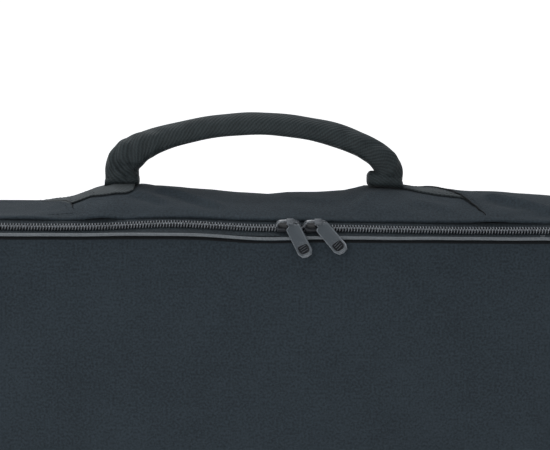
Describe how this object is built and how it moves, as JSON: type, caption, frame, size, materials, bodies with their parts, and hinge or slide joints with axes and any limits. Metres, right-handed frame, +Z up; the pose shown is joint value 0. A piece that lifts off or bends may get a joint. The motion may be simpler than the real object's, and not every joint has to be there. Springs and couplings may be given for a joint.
{
  "type": "padded gig bag",
  "caption": "Oblong padded carrying bag with a zipped front panel, two zip sliders, grey piping and a rolled webbing handle on its long top side.",
  "frame": {"origin": "on the ground, under the middle of the bag's length and depth, where it stands on its long bottom side", "axes": "+X along the bag, to the right when facing the front panel; -Y out of the front panel; +Z up, towards the handle"},
  "size_m": [1.02, 0.1327, 0.4655],
  "materials": {
    "outer_fabric": "woven polyester, near-black slate, matt with a soft sheen",
    "foam": "grey closed-cell foam",
    "lining": "thin black brushed lining",
    "piping": "satin grey piping",
    "binding": "black grosgrain binding tape",
    "zip_tape": "dark woven zip tape",
    "zip_coil": "black nylon coil with a dull shine",
    "webbing": "charcoal polypropylene webbing, diagonal weave",
    "core_rubber": "black foam rubber core",
    "hook_loop": "black hook-and-loop tape",
    "slider_metal": "dark enamelled zinc, worn brighter on edges",
    "pull_metal": "dark grey enamelled zinc, satin"
  },
  "bodies": {
    "shell": {"back_panel": "outer_fabric", "gusset_shell": "outer_fabric", "gusset_foam": "foam", "gusset_lining": "lining", "back_piping": "piping", "back_foam": "foam", "back_lining": "lining", "back_binding": "binding", "front_panel_foot": "outer_fabric", "front_foam_foot": "foam", "front_lining_foot": "lining", "front_piping_foot": "piping", "zip_tape_gusset": "zip_tape", "zip_coil_gusset": "zip_coil", "zip_end_tabs": "binding", "handle_patch_right": "outer_fabric", "handle_patch_left": "outer_fabric", "handle_end_right": "webbing", "handle_end_left": "webbing", "retaining_straps": "webbing", "loop_patches": "hook_loop", "hook_patches": "hook_loop"},
    "lid": {"front_panel": "outer_fabric", "front_foam": "foam", "front_lining": "lining", "front_piping": "piping", "front_binding": "binding", "zip_tape_panel": "zip_tape", "zip_coil_panel": "zip_coil"},
    "handle": {"handle_webbing": "webbing", "handle_core": "core_rubber"},
    "slider_left": {"slider_left_body": "slider_metal", "slider_left_bail": "slider_metal"},
    "slider_right": {"slider_right_body": "slider_metal", "slider_right_bail": "slider_metal"},
    "pull_left": {"pull_left": "pull_metal"},
    "pull_right": {"pull_right": "pull_metal"}
  },
  "joints": [
    {"name": "front_panel_fold", "type": "hinge", "parent": "shell", "child": "lid", "pos_m": [0, -0.0614, 0.072], "axis": [1, 0, 0], "range_deg": [0, 95]},
    {"name": "handle_tip", "type": "hinge", "parent": "shell", "child": "handle", "pos_m": [0, 0.00829, 0.413], "axis": [1, 0, 0], "range_deg": [-75, 75]},
    {"name": "slider_left_travel", "type": "slide", "parent": "lid", "child": "slider_left", "axis": [-1, 0, 0], "range_m": [0, 0.46]},
    {"name": "slider_right_travel", "type": "slide", "parent": "lid", "child": "slider_right", "axis": [1, 0, 0], "range_m": [0, 0.39]},
    {"name": "pull_left_swing", "type": "hinge", "parent": "slider_left", "child": "pull_left", "pos_m": [0, -0.05573, 0.39007], "axis": [-1, 0, 0], "range_deg": [0, 200]},
    {"name": "pull_right_swing", "type": "hinge", "parent": "slider_right", "child": "pull_right", "pos_m": [0, -0.05573, 0.39007], "axis": [-1, 0, 0], "range_deg": [0, 200]}
  ]
}
